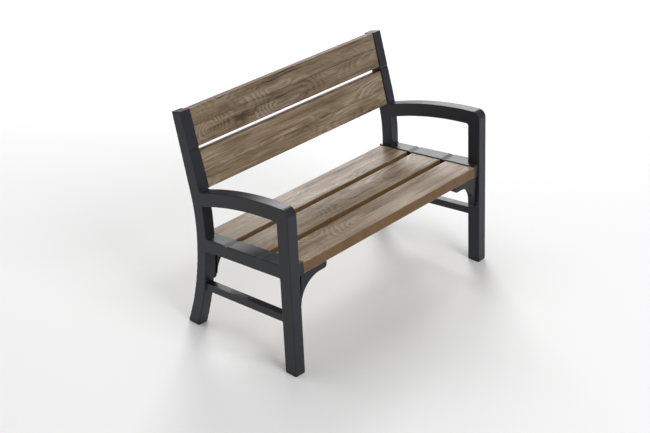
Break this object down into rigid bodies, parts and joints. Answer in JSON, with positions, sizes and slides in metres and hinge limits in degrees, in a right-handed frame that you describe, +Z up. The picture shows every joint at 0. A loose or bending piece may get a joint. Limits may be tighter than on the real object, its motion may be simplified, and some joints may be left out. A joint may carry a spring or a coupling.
{
  "type": "garden bench",
  "caption": "Garden bench with moulded dark side frames, curved armrests, wood-look seat planks and a leaning plank back.",
  "frame": {"origin": "middle of the footprint, on the floor", "axes": "+X along the seat, -Y the way a sitter faces, +Z up"},
  "size_m": [1.1494, 0.6019, 0.8562],
  "materials": {
    "frame_resin": "fine textured graphite resin",
    "bracket_resin": "fine textured graphite resin",
    "foot_resin": "smooth black resin",
    "plank_resin": "embossed wood-look resin, greyed brown grain",
    "tube_steel": "galvanised",
    "screw_steel": "zinc plated"
  },
  "bodies": {
    "root": {"left_side_frame": "frame_resin", "right_side_frame": "frame_resin", "front_left_bracket": "bracket_resin", "front_right_bracket": "bracket_resin", "rear_left_bracket": "bracket_resin", "rear_right_bracket": "bracket_resin", "front_left_foot_cap": "foot_resin", "front_right_foot_cap": "foot_resin", "rear_left_foot_cap": "foot_resin", "rear_right_foot_cap": "foot_resin", "front_seat_plank": "plank_resin", "middle_seat_plank": "plank_resin", "rear_seat_plank": "plank_resin", "lower_back_plank": "plank_resin", "upper_back_plank": "plank_resin", "front_seat_tube": "tube_steel", "middle_seat_tube": "tube_steel", "rear_seat_tube": "tube_steel", "seat_plank_screws": "screw_steel", "back_plank_screws": "screw_steel", "bracket_leg_screws": "screw_steel", "bracket_plank_screws": "screw_steel"}
  },
  "joints": []
}
